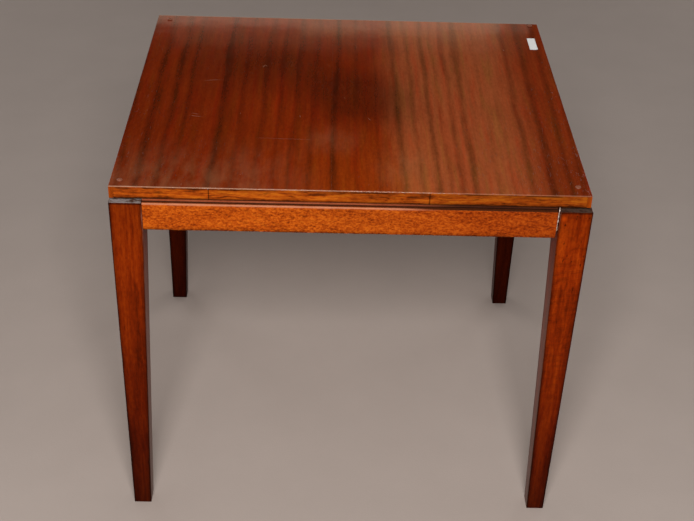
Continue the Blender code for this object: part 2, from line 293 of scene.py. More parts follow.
# Dark, middle and light wood, linear: the red wood of most of the top, and the paler tones of its
# right-hand part, partly paler wood and finish and partly a painted hazy reflection.
RED_TONES = ((0.092, 0.0100, 0.0007), (0.205, 0.0190, 0.0010), (0.330, 0.0400, 0.0030))
PALE_AND_HAZED_TONES = ((0.175, 0.0370, 0.0090), (0.325, 0.0700, 0.0200), (0.480, 0.1120, 0.0340))
TONE_STOPS = (0.08, 0.47, 0.90)
DUST_ON_LACQUER = (0.36, 0.130, 0.055)

# Steps along Y from 0 to 1, so that a mark lies only on the front faces of the top and the legs
FRONT_OF_TOP = (-0.300, -0.304)
FRONT_OF_LEGS = (-0.300, -0.307)


def figure_of(*weighted_layers):
    """Layers of noise about 0.5, each with its weight, added up about 0.5."""
    total = 0.5
    for layer, weight in weighted_layers:
        total = (layer - 0.5) * weight + total
    return total.clamped()


def toned(figure, tones):
    """A figure from 0 to 1 as dark, middle and light wood."""
    return figure.ramp(list(zip(TONE_STOPS, tones)), "LINEAR")


def ribbon_ramp(place, some):
    """A few neighbouring ribbons, on light wood."""
    first, last = some[0][0] - RIBBON_HALF, some[-1][0] + RIBBON_HALF
    stops = [(0.0, RIBBON_LEVELS[1])]
    for (at, dark), following in zip(some, (*some[1:], None)):
        stops.append(((at - first) / (last - first), RIBBON_LEVELS[0] * (1 - dark)))
        if following:
            next_at, next_dark = following
            room = 0.42 * (next_at - at)
            near = at + min(room, RIBBON_HALF * (0.5 + 0.5 * dark))
            far = next_at - min(room, RIBBON_HALF * (0.5 + 0.5 * next_dark))
            for edge, light in zip((near, far), RIBBON_LEVELS):
                stops.append(((edge - first) / (last - first), light))
    stops.append((1.0, RIBBON_LEVELS[0]))
    return ((place - first) * (1 / (last - first))).ramp(stops)


def ribbons(look, leaf):
    """The stripes of a leaf, leaning and wandering a little on their way to the back."""
    low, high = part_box("top_veneer_" + leaf)
    width = high.x - low.x
    lean_low, lean_high = LEANS[leaf]
    back = (look.y - low.y) * (1 / (high.y - low.y))
    lean = (look.x - low.x) * ((lean_high - lean_low) / width) + lean_low
    wander = (look.noise((7, 4.0, 0), 3.0) - 0.5) * 0.018
    wander = wander + (look.noise((60, 8, 0), 2.0) - 0.5) * 0.003
    place = look.x - DECK_LOW.x - lean * back + wander
    stripes = RIBBON_LEVELS[1]
    for start in range(0, len(RIBBONS), RIBBONS_PER_RAMP):
        some = RIBBONS[start : start + RIBBONS_PER_RAMP]
        stripes = ribbon_ramp(place, some).math("MINIMUM", stripes)
    return stripes


def veneer(leaf):
    """Ribbon-striped mahogany veneer under an old gloss lacquer."""
    look = Look("veneer_" + leaf, **LACQUER)
    stripes = ribbons(look, leaf)
    broken = look.noise((85, 11, 0), 3.0, 0.6, 3.1)
    streaks = look.noise((210, 3.4, 0), 4.0, 0.65, 5.7)
    fibres = look.noise((900, 26, 0), 3.0, 0.6, 8.2)
    mottle = look.noise((330, 120, 0), 2.0, 0.6, 6.6)
    fading = look.noise((24, 7, 0), 2.0, 0.5, 14.2).step(0.30, 0.55) * 0.45 + 0.55
    striped = (stripes - STRIPE_NEUTRAL) * fading + 0.5
    figure = figure_of((striped, 0.53), (broken, 0.42), (streaks, 0.33), (fibres, 0.20), (mottle, 0.44))

    # Paler from a wandering line near the right leaf's joint, partly paler wood and partly a painted
    # hazy reflection, but redder again at the right side
    wandering = look.x + (look.noise((30, 6, 0), 2.0, 0.5, 16.4) - 0.5) * 0.05
    side = look.x.step(0.232, 0.312)
    pale = wandering.step(0.036, 0.098) * (1.0 - side * 0.82)
    look.colour = look.blend(toned(figure, RED_TONES), toned(figure, PALE_AND_HAZED_TONES), pale)

    # Some streaks are redder and some greener, and the wood is warmer at the front
    hue = look.noise((46, 2.2, 0), 3.0, 0.6, 11.3)
    tinge = look.noise((105, 8, 0), 2.0, 0.5, 17.9)
    for tint, amount in (
        ((1.10, 0.80, 0.70), hue.step(0.52, 0.68) * 0.45),
        ((0.90, 1.05, 1.00), hue.step(0.47, 0.32) * 0.35),
        ((1.05, 0.84, 0.80), tinge.step(0.53, 0.68) * 0.85),
        ((0.93, 1.14, 0.95), tinge.step(0.47, 0.32) * 0.85),
    ):
        look.tint(tint, amount)
    near_front = look.y.step(-0.060, DECK_LOW.y)
    warm = near_front * look.x.hump(0.012, 0.155) * (0.5 + broken * 0.6)
    look.tint((1.32, 1.75, 1.35), warm)

    # A thin film of dust: at the front left, in two patches near the front and along the back
    film = look.y.step(-0.130, DECK_LOW.y) * look.x.step(-0.010, -0.190)
    film = film + look.patch((-0.027, 0.060), (-0.155, 0.070)) * 0.55
    film = film + look.patch((0.075, 0.062), (-0.235, 0.075)) * 0.60
    film = film + look.x.hump(0.010, 0.190) * look.y.step(0.190, 0.280) * 0.55
    film = film * look.noise((46, 17, 0), 4.0, 0.65, 18.6).step(0.24, 0.72)
    look.paint(DUST_ON_LACQUER, film.clamped() * 0.45)

    # Painted shade: a soft dark cloud behind the middle, up to the line of a ribbon, where the top
    # lacks reflected light. The left part and the right front are also made a little darker.
    shade_cloud_back = look.patch((-0.150, 0.230), (0.115, 0.175))
    shade_cloud_middle = look.patch((0.015, 0.130), (-0.005, 0.140))
    cloud = (shade_cloud_back * 0.94 + shade_cloud_middle * 1.45) * (0.62 + look.noise((9, 7, 0), 3.0) * 0.76)
    left_part = look.x.step(-0.110, -0.200) * look.y.step(0.120, -0.060)
    pores = look.noise((1500, 95, 0), 2.0, 0.5, 1.9).step(0.66, 0.78)
    level = (1.0 - cloud.clamped() * 0.44) * (1.0 - pores * 0.35)
    right_front = side * look.y.step(-0.08, -0.26)
    look.shade(level * (1.0 - left_part * 0.17) * (1.0 - right_front * 0.14))

    # Worn arris all round, in broken patches, painted paler: partly wear and partly a painted
    # highlight along the edge. It is pale on the left of the front edge, then beaded
    edge = look.attribute("edge")
    patches = look.noise((60, 60, 0), 3.0, 0.6, 4.4)
    beads = look.noise((420, 420, 0), 1.0, 0.5, 4.9).step(0.44, 0.60) * look.x.hump(0.040, 0.110)
    rubbed = (edge * (0.62 + patches + beads * 0.5)).step(0.62, 0.98)
    rubbed = rubbed * (1.0 - look.x.step(-0.060, 0.060) * (0.62 - beads * 0.5))
    look.paint((0.50, 0.25, 0.15), rubbed * 0.68)

    scratches = fine_scratches(look)
    look.paint((0.30, 0.13, 0.07), scratches * 0.36)

    smears = look.noise((14, 11, 0), 4.0, 0.6, 9.4)
    roughness = 0.065 + smears * 0.11 + pores * 0.10 + scratches * 0.25 + rubbed * 0.15
    ripple = look.noise((22, 16, 22), 2.0, 0.5, 2.2)
    relief = ripple * 0.4 + fibres * 0.04 - pores * 0.10 - scratches * 0.2
    return look.finish(roughness, relief, 0.0006)


# Short marks in the lacquer: start, stop (x, y), half width.
MARKS = (
    ((-0.255, -0.083), (-0.224, -0.089), 0.0008),
    ((-0.250, -0.076), (-0.232, -0.080), 0.0006),
    ((-0.243, 0.040), (-0.205, 0.046), 0.0006),
    ((-0.079, -0.072), (-0.077, -0.086), 0.0008),
    ((-0.172, -0.070), (-0.171, -0.076), 0.0007),
    ((-0.009, -0.008), (-0.007, -0.016), 0.0008),
    ((0.026, -0.076), (0.034, -0.090), 0.0006),
    ((-0.160, -0.152), (-0.040, -0.155), 0.00020),
    ((-0.242, -0.294), (-0.240, -0.296), 0.0016),
    ((-0.160, -0.262), (-0.159, -0.266), 0.0009),
    ((-0.146, 0.094), (-0.140, 0.108), 0.0009),
    ((-0.143, 0.108), (-0.136, 0.098), 0.0007),
    ((0.268, 0.192), (0.271, 0.184), 0.0012),
)


def fine_scratches(look):
    """A mask of the short marks, which is 1 on a mark."""
    total = None
    for (x0, y0), (x1, y1), half in MARKS:
        run = Vector((x1 - x0, y1 - y0))
        way = run.normalized()
        from_x, from_y = look.x - x0, look.y - y0
        along = from_x * way.x + from_y * way.y
        beside = abs(from_x * -way.y + from_y * way.x)
        mark = beside.step(half, half * 0.3) * along.hump(run.length / 2, run.length / 2)
        total = mark if total is None else total + mark
    return total.clamped()


def solid_wood(name, axis, tones, scales, weights, warp=0.0, **shader):
    """The grain that all solid pieces share: bands, streaks and flecks, then fibres and pores.

    The scales are (along, across) the grain for the first three, the weights for the first four.
    The warp bends bands and streaks, in their own widths. Returns the look, already coloured, and
    its fibres, pores and flecks.
    """
    look = Look(name, **shader)
    bend = (look.noise(along_grain(axis, 14, 30), 2.0, 0.5, 9.6) - 0.5) * warp
    layers = [
        look.noise(along_grain(axis, *scales[0]), 3.0, 0.55, 1.3, (bend,) * 3),
        look.noise(along_grain(axis, *scales[1]), 4.0, 0.60, 4.9, (bend,) * 3),
        look.noise(along_grain(axis, *scales[2]), 2.0, 0.60, 6.1),
        look.noise(along_grain(axis, 30, 1000), 3.0, 0.6, 7.7),
    ]
    pores = look.noise(along_grain(axis, 150, 1500), 2.0, 0.5, 2.8).step(0.62, 0.74)
    look.colour = toned(figure_of(*zip(layers, weights)), tones)
    return look, layers[3], pores, layers[2]


def lipping(name, axis):
    """Lacquered solid strip: orange with wavy dark brown streaks and stained long edges."""
    tones = ((0.110, 0.017, 0.0014), (0.390, 0.062, 0.0034), (0.580, 0.135, 0.0070))
    look, fibres, pores, flecks = solid_wood(
        name, axis, tones, ((10, 120), (24, 360), (120, 300)), (1.9, 1.5, 0.8, 0.5), 3.0, **SATIN
    )
    yellow = look.noise((22, 22, 90), 3.0, 0.6, 12.4).step(0.50, 0.68)
    look.tint((0.97, 1.16, 1.05), yellow * 0.7)
    middle = (TOP_LOW.z + TOP_HIGH.z) / 2
    patchy = look.noise((26, 26, 40), 3.0, 0.6, 3.3)
    glue_line = look.z.step(TOP_HIGH.z - 0.0030, TOP_HIGH.z - 0.0008) * patchy.step(0.40, 0.58)
    foot_line = look.z.step(DECK_LOW.z + 0.0030, DECK_LOW.z + 0.0008) * (0.45 + patchy * 0.6)
    low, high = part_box("front_lipping_middle")
    butted = look.x.hump(low.x, 0.0014) * patchy.step(0.40, 0.60)
    butted = butted + look.x.hump(high.x, 0.0018) * 0.8
    knots = look.noise((42, 42, 130), 3.0, 0.6, 19.5).step(0.60, 0.70)
    in_front = (butted + knots * 0.75) * look.y.step(*FRONT_OF_TOP)
    dirt_and_shade = (glue_line * 0.85 + foot_line + in_front).clamped()
    level = (1.0 - dirt_and_shade * 0.78) * (1.0 - pores * 0.35)
    lower = look.z.hump(middle - 0.002, 0.008) * 0.16 + 0.76
    stained = look.x.hump(0.045, 0.090) * 0.16 + look.x.step(0.05, 0.20) * 0.25
    stained = stained - look.x.step(-0.12, -0.26) * 0.10
    look.shade(level * lower * (1.0 - stained))
    roughness = 0.32 + fibres * 0.14 + dirt_and_shade * 0.2
    relief = fibres * 0.6 - pores * 0.5 + flecks * 0.3
    return look.finish(roughness, relief, 0.00018)


def rail(name, axis):
    """Lacquered rail: orange mahogany with short curly flecks, darker at its lower edge."""
    tones = ((0.205, 0.025, 0.0016), (0.440, 0.068, 0.0034), (0.660, 0.138, 0.0085))
    look, fibres, pores, flecks = solid_wood(
        name, axis, tones, ((14, 60), (125, 370), (290, 430)), (0.8, 1.05, 1.6, 0.4), 1.6, **SATIN
    )
    slant = look.x * 0.5 + look.z * 1.0
    bend = look.noise((45, 45, 90), 3.0, 0.6, 13.5) * 6.0
    curl = (slant * 560 + bend).sine().step(0.1, 1.0)
    curl = curl * look.noise((120, 120, 200), 2.0, 0.5, 15.1).step(0.44, 0.58)
    curl = curl * look.x.hump(-0.110, 0.190) * 0.26
    low_edge = look.noise((50, 50, 20), 3.0)
    lower = look.z.step(RAIL_BOTTOM + 0.008, RAIL_BOTTOM + 0.0005) * (0.3 + low_edge)
    arris_dirt = look.z.step(RAIL_BOTTOM + 0.0032, RAIL_BOTTOM + 0.0012) * low_edge.step(0.42, 0.54)
    rightward = look.x.step(-0.20, 0.34) * 0.30
    # Painted shade on the rail's top, behind its front arris where the gap under the top is and along
    # the shaded part on the right, with some dirt in the corner
    across = abs(look.y) if axis == "x" else abs(look.x)
    face = abs(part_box("rail_front")[0].y) if axis == "x" else abs(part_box("rail_left")[0].x)
    inward = (across * -1.0 + face).step(0.0016, 0.0042)
    shaded_part = look.x.step(0.06, 0.14)
    on_top = look.z.step(FRAME_TOP - 0.0010, FRAME_TOP - 0.0002)
    dirt_and_shade = on_top * (inward + shaded_part).clamped()
    # The top front arris is painted paler, partly wear and partly a painted highlight, and not in the
    # shaded part
    edge = look.attribute("edge")
    rubbed = (edge * (0.6 + look.noise((70, 70, 20), 3.0, 0.6, 8.8))).step(0.6, 1.0)
    rubbed = rubbed * look.z.step(FRAME_TOP - 0.004, FRAME_TOP) * (1.0 - shaded_part)
    level = (1.0 - curl) * (1.0 - lower * 0.36) * (1.0 - rightward) * (1.0 - pores * 0.40)
    look.shade(level * (1.0 - arris_dirt * 0.45))
    redder = look.x.step(-0.05, 0.30) * 0.8
    look.tint((0.97, 0.76, 0.90), redder)
    look.paint((0.60, 0.25, 0.14), rubbed * 0.8)
    look.paint((0.045, 0.014, 0.006), dirt_and_shade * 0.9)
    roughness = 0.32 + fibres * 0.14 + lower * 0.1 + dirt_and_shade * 0.2
    relief = fibres * 0.5 - pores * 0.6 + flecks * 0.4
    return look.finish(roughness, relief, 0.00022)


def leg(name):
    """Lacquered leg: red-brown, darker to the foot and along its outer edges, some flame figure."""
    tones = ((0.075, 0.0065, 0.0004), (0.212, 0.0185, 0.0008), (0.385, 0.0490, 0.0022))
    look, fibres, pores, flecks = solid_wood(
        name, "z", tones, ((5, 65), (11, 230), (110, 300)), (1.0, 0.80, 0.5, 0.35), 1.0, **WORN_SATIN
    )
    flame_bend = (look.noise((22, 22, 14), 2.0, 0.5, 5.1) - 0.5) * 7.0
    flame = look.noise((26, 26, 120), 3.0, 0.6, 10.8, (flame_bend,) * 3).step(0.46, 0.66)
    on_right = look.x.step(0.20, 0.30)
    flame = flame * on_right * look.z.step(0.12, 0.36) * 0.24
    ripple = (look.z * 1900 + look.noise((60, 60, 26), 3.0, 0.6, 20.3) * 16).wave()
    flame = flame + ripple * on_right * look.z.hump(0.42, 0.16) * 0.13
    smudge = look.x.hump(-0.316, 0.016) * look.z.hump(0.300, 0.050)
    smudge = smudge * look.noise((90, 90, 40), 3.0).step(0.35, 0.60)
    flame = flame + smudge * look.y.step(*FRONT_OF_LEGS) * 0.38
    height = look.z * (1 / FRAME_TOP)
    levels = [(0.0, 0.21), (0.25, 0.39), (0.60, 0.82), (0.84, 0.94), (1.0, 0.68)]
    fade = height.ramp(levels, "LINEAR")
    right_side = look.x.step(0.0, 0.3) * look.y.step(0.1, 0.0) * 0.25 + 1.0
    # Painted shade: the rear legs are made darker, for the shadow of the top over them
    rear = look.y.step(0.0, 0.2) * 0.25
    specks = look.noise((230, 230, 120), 1.0, 0.5, 3.6).step(0.68, 0.76) * look.z.step(0.38, 0.50)
    specks = specks * look.x.step(0.0, 0.1)
    edge = look.attribute("edge")
    inner_side = abs(look.x).step(0.312, 0.296)  # the half of a leg that is nearer the middle
    arris = edge.step(0.80, 0.98)
    top_rim = look.z.step(FRAME_TOP - 0.0034, FRAME_TOP - 0.0016)
    level = fade * right_side * (1.0 - rear) * (1.0 - flame) * (1.0 - edge * 0.55)
    level = level * (1.0 - arris * (1.0 - inner_side) * 0.5) * (1.0 - top_rim * 0.65)
    level = level * (1.0 - pores * 0.35) * (1.0 - specks * 0.65)
    look.tint((1.0, 0.78, 0.80), look.z.step(0.40, 0.10))
    look.shade(level)
    rubbed = (arris * inner_side * look.noise((90, 90, 20), 3.0, 0.6, 12.6)).step(0.38, 0.60)
    look.paint((0.26, 0.090, 0.055), rubbed * 0.75)

    # A pale painted reflection on the front legs' inner faces, which are those that face the table's
    # middle
    facing = look.add("ShaderNodeSeparateXYZ")
    look.tree.links.new(look.add("ShaderNodeNewGeometry").outputs["Normal"], facing.inputs[0])
    inner_face = (look.x * Wire(look, facing.outputs["X"])).step(-0.12, -0.28)
    painted_reflection = inner_face * look.y.step(-0.10, -0.20) * look.z.step(0.545, 0.440)
    look.paint((0.36, 0.18, 0.13), painted_reflection * (0.20 + fibres * 0.10))
    glue_red = look.x.hump(0.306, 0.006) * look.z.hump(0.574, 0.008) * look.y.step(*FRONT_OF_LEGS)
    look.paint((0.46, 0.050, 0.0015), glue_red * 0.8)
    roughness = 0.28 + fibres * 0.12 + edge * 0.08
    relief = fibres * 0.5 - pores * 0.6 + flecks * 0.3
    return look.finish(roughness, relief, 0.00022)


def end_grain(name, light, dark, dust, dust_amount, shader=RAW):
    """Sawn end grain: small pores and rings, with grey dust lying on it."""
    look = Look(name, **shader)
    rings = (look.x * 900 + look.y * 500 + look.noise(60, 3.0) * 7).wave()
    pores = look.noise(1300, 2.0, 0.5, 2.4).step(0.58, 0.70)
    look.colour = look.blend(dark, light, rings * 0.6 + look.noise(120, 3.0) * 0.4)
    look.shade(1.0 - pores * 0.5)
    lying = look.noise((90, 140, 90), 4.0, 0.65, 6.6).step(0.30, 0.62)
    look.paint(dust, lying * dust_amount)
    relief = rings * 0.3 - pores * 0.7 + lying * 0.4
    return look.finish(0.75 + lying * 0.15, relief, 0.0003)


def spacer(name, axis):
    """Set-back strip under the top: pinkish brown, with painted shade in its corners and on the right.
    """
    tones = ((0.110, 0.020, 0.006), (0.310, 0.070, 0.025), (0.430, 0.125, 0.052))
    look, fibres, pores, flecks = solid_wood(
        name, axis, tones, ((12, 200), (30, 500), (230, 420)), (0.9, 0.7, 0.4, 0.3), **RAW
    )
    # Painted shade: the right-hand part is made much darker, over the same stretch as the rail's shaded
    # part
    stain = look.x.step(0.06, 0.16) * 0.80
    # Painted shade in both corners: the upper one is the shadow of the top's overhang, the lower one
    # shade with some dirt where the strip meets the rail
    corners = look.z.step(FRAME_TOP + 0.0022, FRAME_TOP + 0.0008)
    corners = corners + look.z.step(DECK_LOW.z - 0.0030, DECK_LOW.z - 0.0014)
    look.shade((1.0 - stain) * (1.0 - corners * 0.85) * (1.0 - pores * 0.3))
    return look.finish(0.6 + fibres * 0.2, fibres * 0.6 + flecks * 0.4, 0.0003)


def sawn_block():
    """Unfinished softwood block with saw marks."""
    look = Look("sawn_block", **RAW)
    rings = (look.x * 700 + look.y * 150 + look.noise((25, 25, 8), 3.0) * 6).wave()
    fibres = look.noise((240, 240, 900), 3.0, 0.6, 5.0)
    look.colour = look.blend((0.300, 0.170, 0.075), (0.560, 0.390, 0.210), rings * 0.5 + fibres * 0.5)
    grime = look.noise(35, 4.0, 0.6, 8.0).step(0.45, 0.75)
    look.paint((0.16, 0.10, 0.06), grime * 0.5)
    marks = (look.z * 2400 + look.noise((12, 12, 60), 2.0) * 9).wave()
    relief = marks * 0.5 + fibres * 0.5
    return look.finish(0.72 + grime * 0.15, relief, 0.0004)


def backing_sheet():
    """Unpolished counter veneer under the top, with old drips and dust."""
    look = Look("backing_sheet", **RAW)
    bands = look.noise((5, 26, 0), 3.0, 0.6, 1.0)
    streaks = look.noise((8, 260, 0), 4.0, 0.6, 2.0)
    fibres = look.noise((30, 1200, 0), 3.0, 0.6, 3.0)
    figure = bands * 0.5 + streaks * 0.5 + fibres * 0.2 - 0.1
    tones = [
        (0.2, (0.130, 0.058, 0.026)),
        (0.5, (0.250, 0.118, 0.055)),
        (0.8, (0.360, 0.190, 0.098)),
    ]
    look.colour = figure.clamped().ramp(tones, "LINEAR")
    stain = look.noise((9, 7, 0), 4.0, 0.6, 5.5).step(0.52, 0.66)
    look.shade(1.0 - stain * 0.25)
    return look.finish(0.62 + stain * 0.15, fibres, 0.0002)


def core_board():
    """Blockboard core, seen only in the holes and gaps."""
    look = Look("core_board", **RAW)
    staves = (look.y * 130).sine().step(-0.1, 0.1) * 0.3
    fibres = look.noise((20, 500, 500), 3.0, 0.6, 4.0)
    look.colour = look.blend((0.330, 0.220, 0.120), (0.600, 0.450, 0.280), fibres * 0.8 + staves)
    return look.finish(0.75 + fibres * 0.15, fibres, 0.0003)


def pale_dowel():
    """Fluted beech dowel with dried glue in its grooves."""
    look = Look("pale_dowel", **RAW)
    fibres = look.noise((500, 500, 60), 3.0, 0.6, 1.5)
    glue = look.noise(180, 3.0, 0.6, 6.5).step(0.50, 0.65)
    look.colour = look.blend((0.480, 0.330, 0.190), (0.700, 0.550, 0.370), fibres)
    look.paint((0.62, 0.50, 0.34), glue * 0.7)
    return look.finish(0.65 - glue * 0.25, fibres * 0.5 + glue * 0.5, 0.0002)


def old_screw():
    """Plated steel screw, dulled, with rust in its slot and thread."""
    look = Look("old_screw", Metallic=1.0)
    rust = look.noise(420, 4.0, 0.65, 2.0).step(0.48, 0.66)
    turning = look.noise(2600, 2.0, 0.5, 3.0)
    look.colour = look.blend((0.48, 0.46, 0.42), (0.17, 0.080, 0.035), rust * 0.8)
    return look.finish(0.30 + rust * 0.45 + turning * 0.1, rust * 0.6 + turning * 0.4, 0.00012)


def clear_bumper():
    """Cloudy vinyl bumper, yellowed and dusty at its rim."""
    look = Look("clear_bumper", IOR=1.46, Transmission_Weight=0.25, Specular_IOR_Level=0.2)
    cloudy = look.noise(500, 3.0, 0.6, 2.0)
    rim = look.z.step(DECK_HIGH.z + 0.0009, DECK_HIGH.z + 0.0002)
    look.colour = look.blend((0.22, 0.062, 0.030), (0.36, 0.125, 0.070), cloudy)
    look.paint((0.20, 0.07, 0.035), rim * 0.4)
    return look.finish(0.36 + cloudy * 0.14 + rim * 0.2, cloudy, 0.00008)


def paper():
    """Blank label: white paper with a faint fibre and a grubby border."""
    look = Look("paper", **RAW)
    low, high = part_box("blank_label")
    middle = (low + high) / 2
    pulp = look.noise(900, 4.0, 0.65, 2.0)
    from_side = abs(look.x - middle.x).step(0.35 * (high.x - low.x), 0.5 * (high.x - low.x))
    from_end = abs(look.y - middle.y).step(0.46 * (high.y - low.y), 0.5 * (high.y - low.y))
    grime = (from_side + from_end) * look.noise((200, 90, 0), 3.0, 0.6, 7.0)
    look.colour = look.blend((0.97, 0.97, 0.97), (0.88, 0.88, 0.87), pulp)
    look.paint((0.40, 0.34, 0.28), grime.clamped() * 0.45)
    return look.finish(0.62 + pulp * 0.2, pulp, 0.00006)


def dried_glue():
    """Old glue in the opened joint: off-white with a pinkish cast, glossy where it is smooth."""
    look = Look("dried_glue", IOR=1.5)
    lumps = look.noise((700, 700, 420), 3.0, 0.6, 2.0)
    look.colour = look.blend((0.66, 0.40, 0.31), (0.95, 0.80, 0.72), lumps.step(0.3, 0.6))
    return look.finish(0.35 + lumps * 0.3, lumps, 0.0005)


def pale_floor():
    """Plain pale studio floor, very slightly mottled."""
    look = Look("pale_floor", **RAW)
    mottle = look.noise(7, 4.0, 0.6, 2.0)
    grit = look.noise(300, 2.0, 0.5, 3.0)
    look.colour = look.blend((0.46, 0.385, 0.345), (0.53, 0.445, 0.400), mottle * 0.8 + grit * 0.2)
    look.shader.inputs["Emission Color"].default_value = (*FAR_COLOUR, 1.0)
    far = (look.x * look.x + look.y * look.y).step(2.5, 20.0)
    look.feed(look.shader.inputs["Emission Strength"], far * FAR_GLOW)
    return look.finish(0.75 + mottle * 0.1, grit, 0.0002)


# ======== Shapes ========
def linked(name, data):
    """A new object of the scene."""
    item = bpy.data.objects.new(name, data)
    bpy.context.scene.collection.objects.link(item)
    return item


def new_piece(name, shape, *looks):
    """A named object from a bmesh, shaded smooth between its real edges."""
    mesh = bpy.data.meshes.new(name)
    bmesh.ops.recalc_face_normals(shape, faces=shape.faces)
    shape.to_mesh(mesh)
    shape.free()
    for look in looks:
        mesh.materials.append(look)
    mesh.shade_smooth()
    mesh.set_sharp_from_angle(angle=SMOOTH_BELOW)
    return linked(name, mesh)


def even_normals(piece):
    """Keeps the flat faces flat next to their rounded edges."""
    even = piece.modifiers.new("even_normals", "WEIGHTED_NORMAL")
    even.keep_sharp = True
    even.weight = 100
    return piece


def band(shape, first, second):
    """A closed band of faces between two rings of vertices."""
    for i in range(len(first)):
        j = (i + 1) % len(first)
        shape.faces.new((first[i], first[j], second[j], second[i]))


def section(low, high, radii, shoulders):
    """A rectangle's outline with rounded corners, as (u, v, edge mask) points, anticlockwise.

    The shoulders are two lists of distances from a corner, along the u sides and the v sides.
    """
    corners = (
        ((low[0], low[1]), math.pi, (1, 1)),
        ((high[0], low[1]), 1.5 * math.pi, (-1, 1)),
        ((high[0], high[1]), 0.0, (-1, -1)),
        ((low[0], high[1]), 0.5 * math.pi, (1, -1)),
    )

    def beside(radius, side):
        masks = [math.exp(-d / EDGE_FADE) for d in shoulders[side][:-1]] + [0.0]
        return [(radius + d, mask) for d, mask in zip(shoulders[side], masks)]

    points = []
    for index, ((u, v), start, (in_u, in_v)) in enumerate(corners):
        radius = radii[index]
        # The side that arrives at this corner runs along v at the low-low and high-high corners.
        along_v = index % 2 == 0
        before = beside(radius, int(along_v))[::-1]
        after = beside(radius, int(not along_v))
        for away, mask in before:
            points.append((u, v + in_v * away, mask) if along_v else (u + in_u * away, v, mask))
        for step in range(ARRIS_STEPS + 1):
            angle = start + 0.5 * math.pi * step / ARRIS_STEPS
            centre_u, centre_v = u + in_u * radius, v + in_v * radius
            arc_u, arc_v = radius * math.cos(angle), radius * math.sin(angle)
            points.append((centre_u + arc_u, centre_v + arc_v, 1.0))
        for away, mask in after:
            points.append((u + in_u * away, v, mask) if along_v else (u, v + in_v * away, mask))
    return points


def bar(name, axis, low, high, arrises, looks, ends=(SHARP_ARRIS, SHARP_ARRIS), wear=0.3,
        shoulders=(), nicks=(), inner=None):
    """A straight wooden piece along an axis, with worn edges and its own end-grain finish.

    The arrises are the radii of its four long edges, the ends those of its two end outlines. A
    nick is (place along the axis, edge, extra radius, half length). The inner function moves the
    section's low and high corners in along the length, for a taper.
    """
    turn = {"x": (1, 2, 0), "y": (2, 0, 1), "z": (0, 1, 2)}[axis]
    low, high = (Vector([corner[i] for i in turn]) for corner in (low, high))
    places = [low.z + ends[0] * (1 - math.cos(a)) for a in (0, 0.5, 1.0)]
    count = max(2, round((high.z - low.z) / STATION))
    places += [low.z + ends[0] + (high.z - low.z - sum(ends)) * i / count for i in range(count + 1)]
    places += [high.z - ends[1] * (1 - math.cos(a)) for a in (1.0, 0.5, 0)]

    def inset(place):
        from_low = max(0.0, ends[0] - (place - low.z))
        from_high = max(0.0, ends[1] - (high.z - place))
        by_end = [end - math.sqrt(max(0.0, end * end - short * short)) if end else 0.0
                  for end, short in ((ends[0], from_low), (ends[1], from_high))]
        return max(by_end)

    def shoulders_on(index):
        """The shoulders that fit on the bar's narrowest side in one direction."""
        spans = [(inner(place) if inner else (low, high)) for place in (low.z, high.z)]
        room = 0.4 * min(end_high[index] - end_low[index] for end_low, end_high in spans)
        return [d for d in shoulders if d + 2 * max(arrises) < room]

    fitting = shoulders_on(0), shoulders_on(1)
    shape = bmesh.new()
    masks = shape.verts.layers.float.new("edge")
    rings = []
    for place in places:
        corner_low, corner_high = inner(place) if inner else (low.xy, high.xy)
        step_in = inset(place)
        radii = []
        for index, radius in enumerate(arrises):
            spot = Vector((place * 45, index * 7.3 + low.x * 31, low.y * 17))
            worn = 1 + wear * 1.6 * noise.noise(spot)
            extra = sum(deep * math.exp(-(((place - at) / half) ** 2))
                        for at, edge, deep, half in nicks if edge == index)
            radii.append(max(SHARP_ARRIS, radius * worn + extra - step_in))
        outline = section(
            (corner_low[0] + step_in, corner_low[1] + step_in),
            (corner_high[0] - step_in, corner_high[1] - step_in),
            radii,
            fitting,
        )
        ring = []
        for u, v, mask in outline:
            vert = shape.verts.new((u, v, place))
            vert[masks] = mask
            ring.append(vert)
        rings.append(ring)
    for first, second in zip(rings, rings[1:]):
        band(shape, first, second)
    for ring in (rings[0], rings[-1]):
        shape.faces.new(ring).material_index = min(1, len(looks) - 1)
    bmesh.ops.transform(shape, matrix=ALONG[axis], verts=shape.verts)
    return new_piece(name, shape, *looks)


def ring_stack(shape, rings):
    """Closes a stack of rings of points, given as lists of positions, into a solid."""
    made = [[shape.verts.new(point) for point in ring] for ring in rings]
    for first, second in zip(made, made[1:]):
        band(shape, first, second)
    shape.faces.new(made[0])
    shape.faces.new(made[-1])


def circle(radius, z, sides=ROUND_SIDES):
    """A ring of points. The radius is a number, or a function of the turn from 0 to 1."""
    ring = []
    for i in range(sides):
        turn = i / sides
        reach = radius(turn) if callable(radius) else radius
        ring.append((reach * math.cos(2 * math.pi * turn), reach * math.sin(2 * math.pi * turn), z))
    return ring


def turned(name, profile, look, place):
    """A round piece about its own Z, from (radius, z) points, put in place by a matrix."""
    shape = bmesh.new()
    ring_stack(shape, [circle(radius, z) for radius, z in profile])
    bmesh.ops.transform(shape, matrix=place, verts=shape.verts)
    return new_piece(name, shape, look)


def carve(piece, cutter_shape):
    """Cuts a bmesh out of a piece for good."""
    mesh = bpy.data.meshes.new("cutter")
    bmesh.ops.recalc_face_normals(cutter_shape, faces=cutter_shape.faces)
    cutter_shape.to_mesh(mesh)
    cutter_shape.free()
    cutter = linked("cutter", mesh)
    cut = piece.modifiers.new("cut", "BOOLEAN")
    cut.operation = "DIFFERENCE"
    cut.solver = "EXACT"
    cut.object = cutter
    bpy.context.view_layer.update()
    evaluated = piece.evaluated_get(bpy.context.evaluated_depsgraph_get())
    carved = bpy.data.meshes.new_from_object(evaluated)
    piece.modifiers.clear()
    piece.data = carved
    bpy.data.objects.remove(cutter)


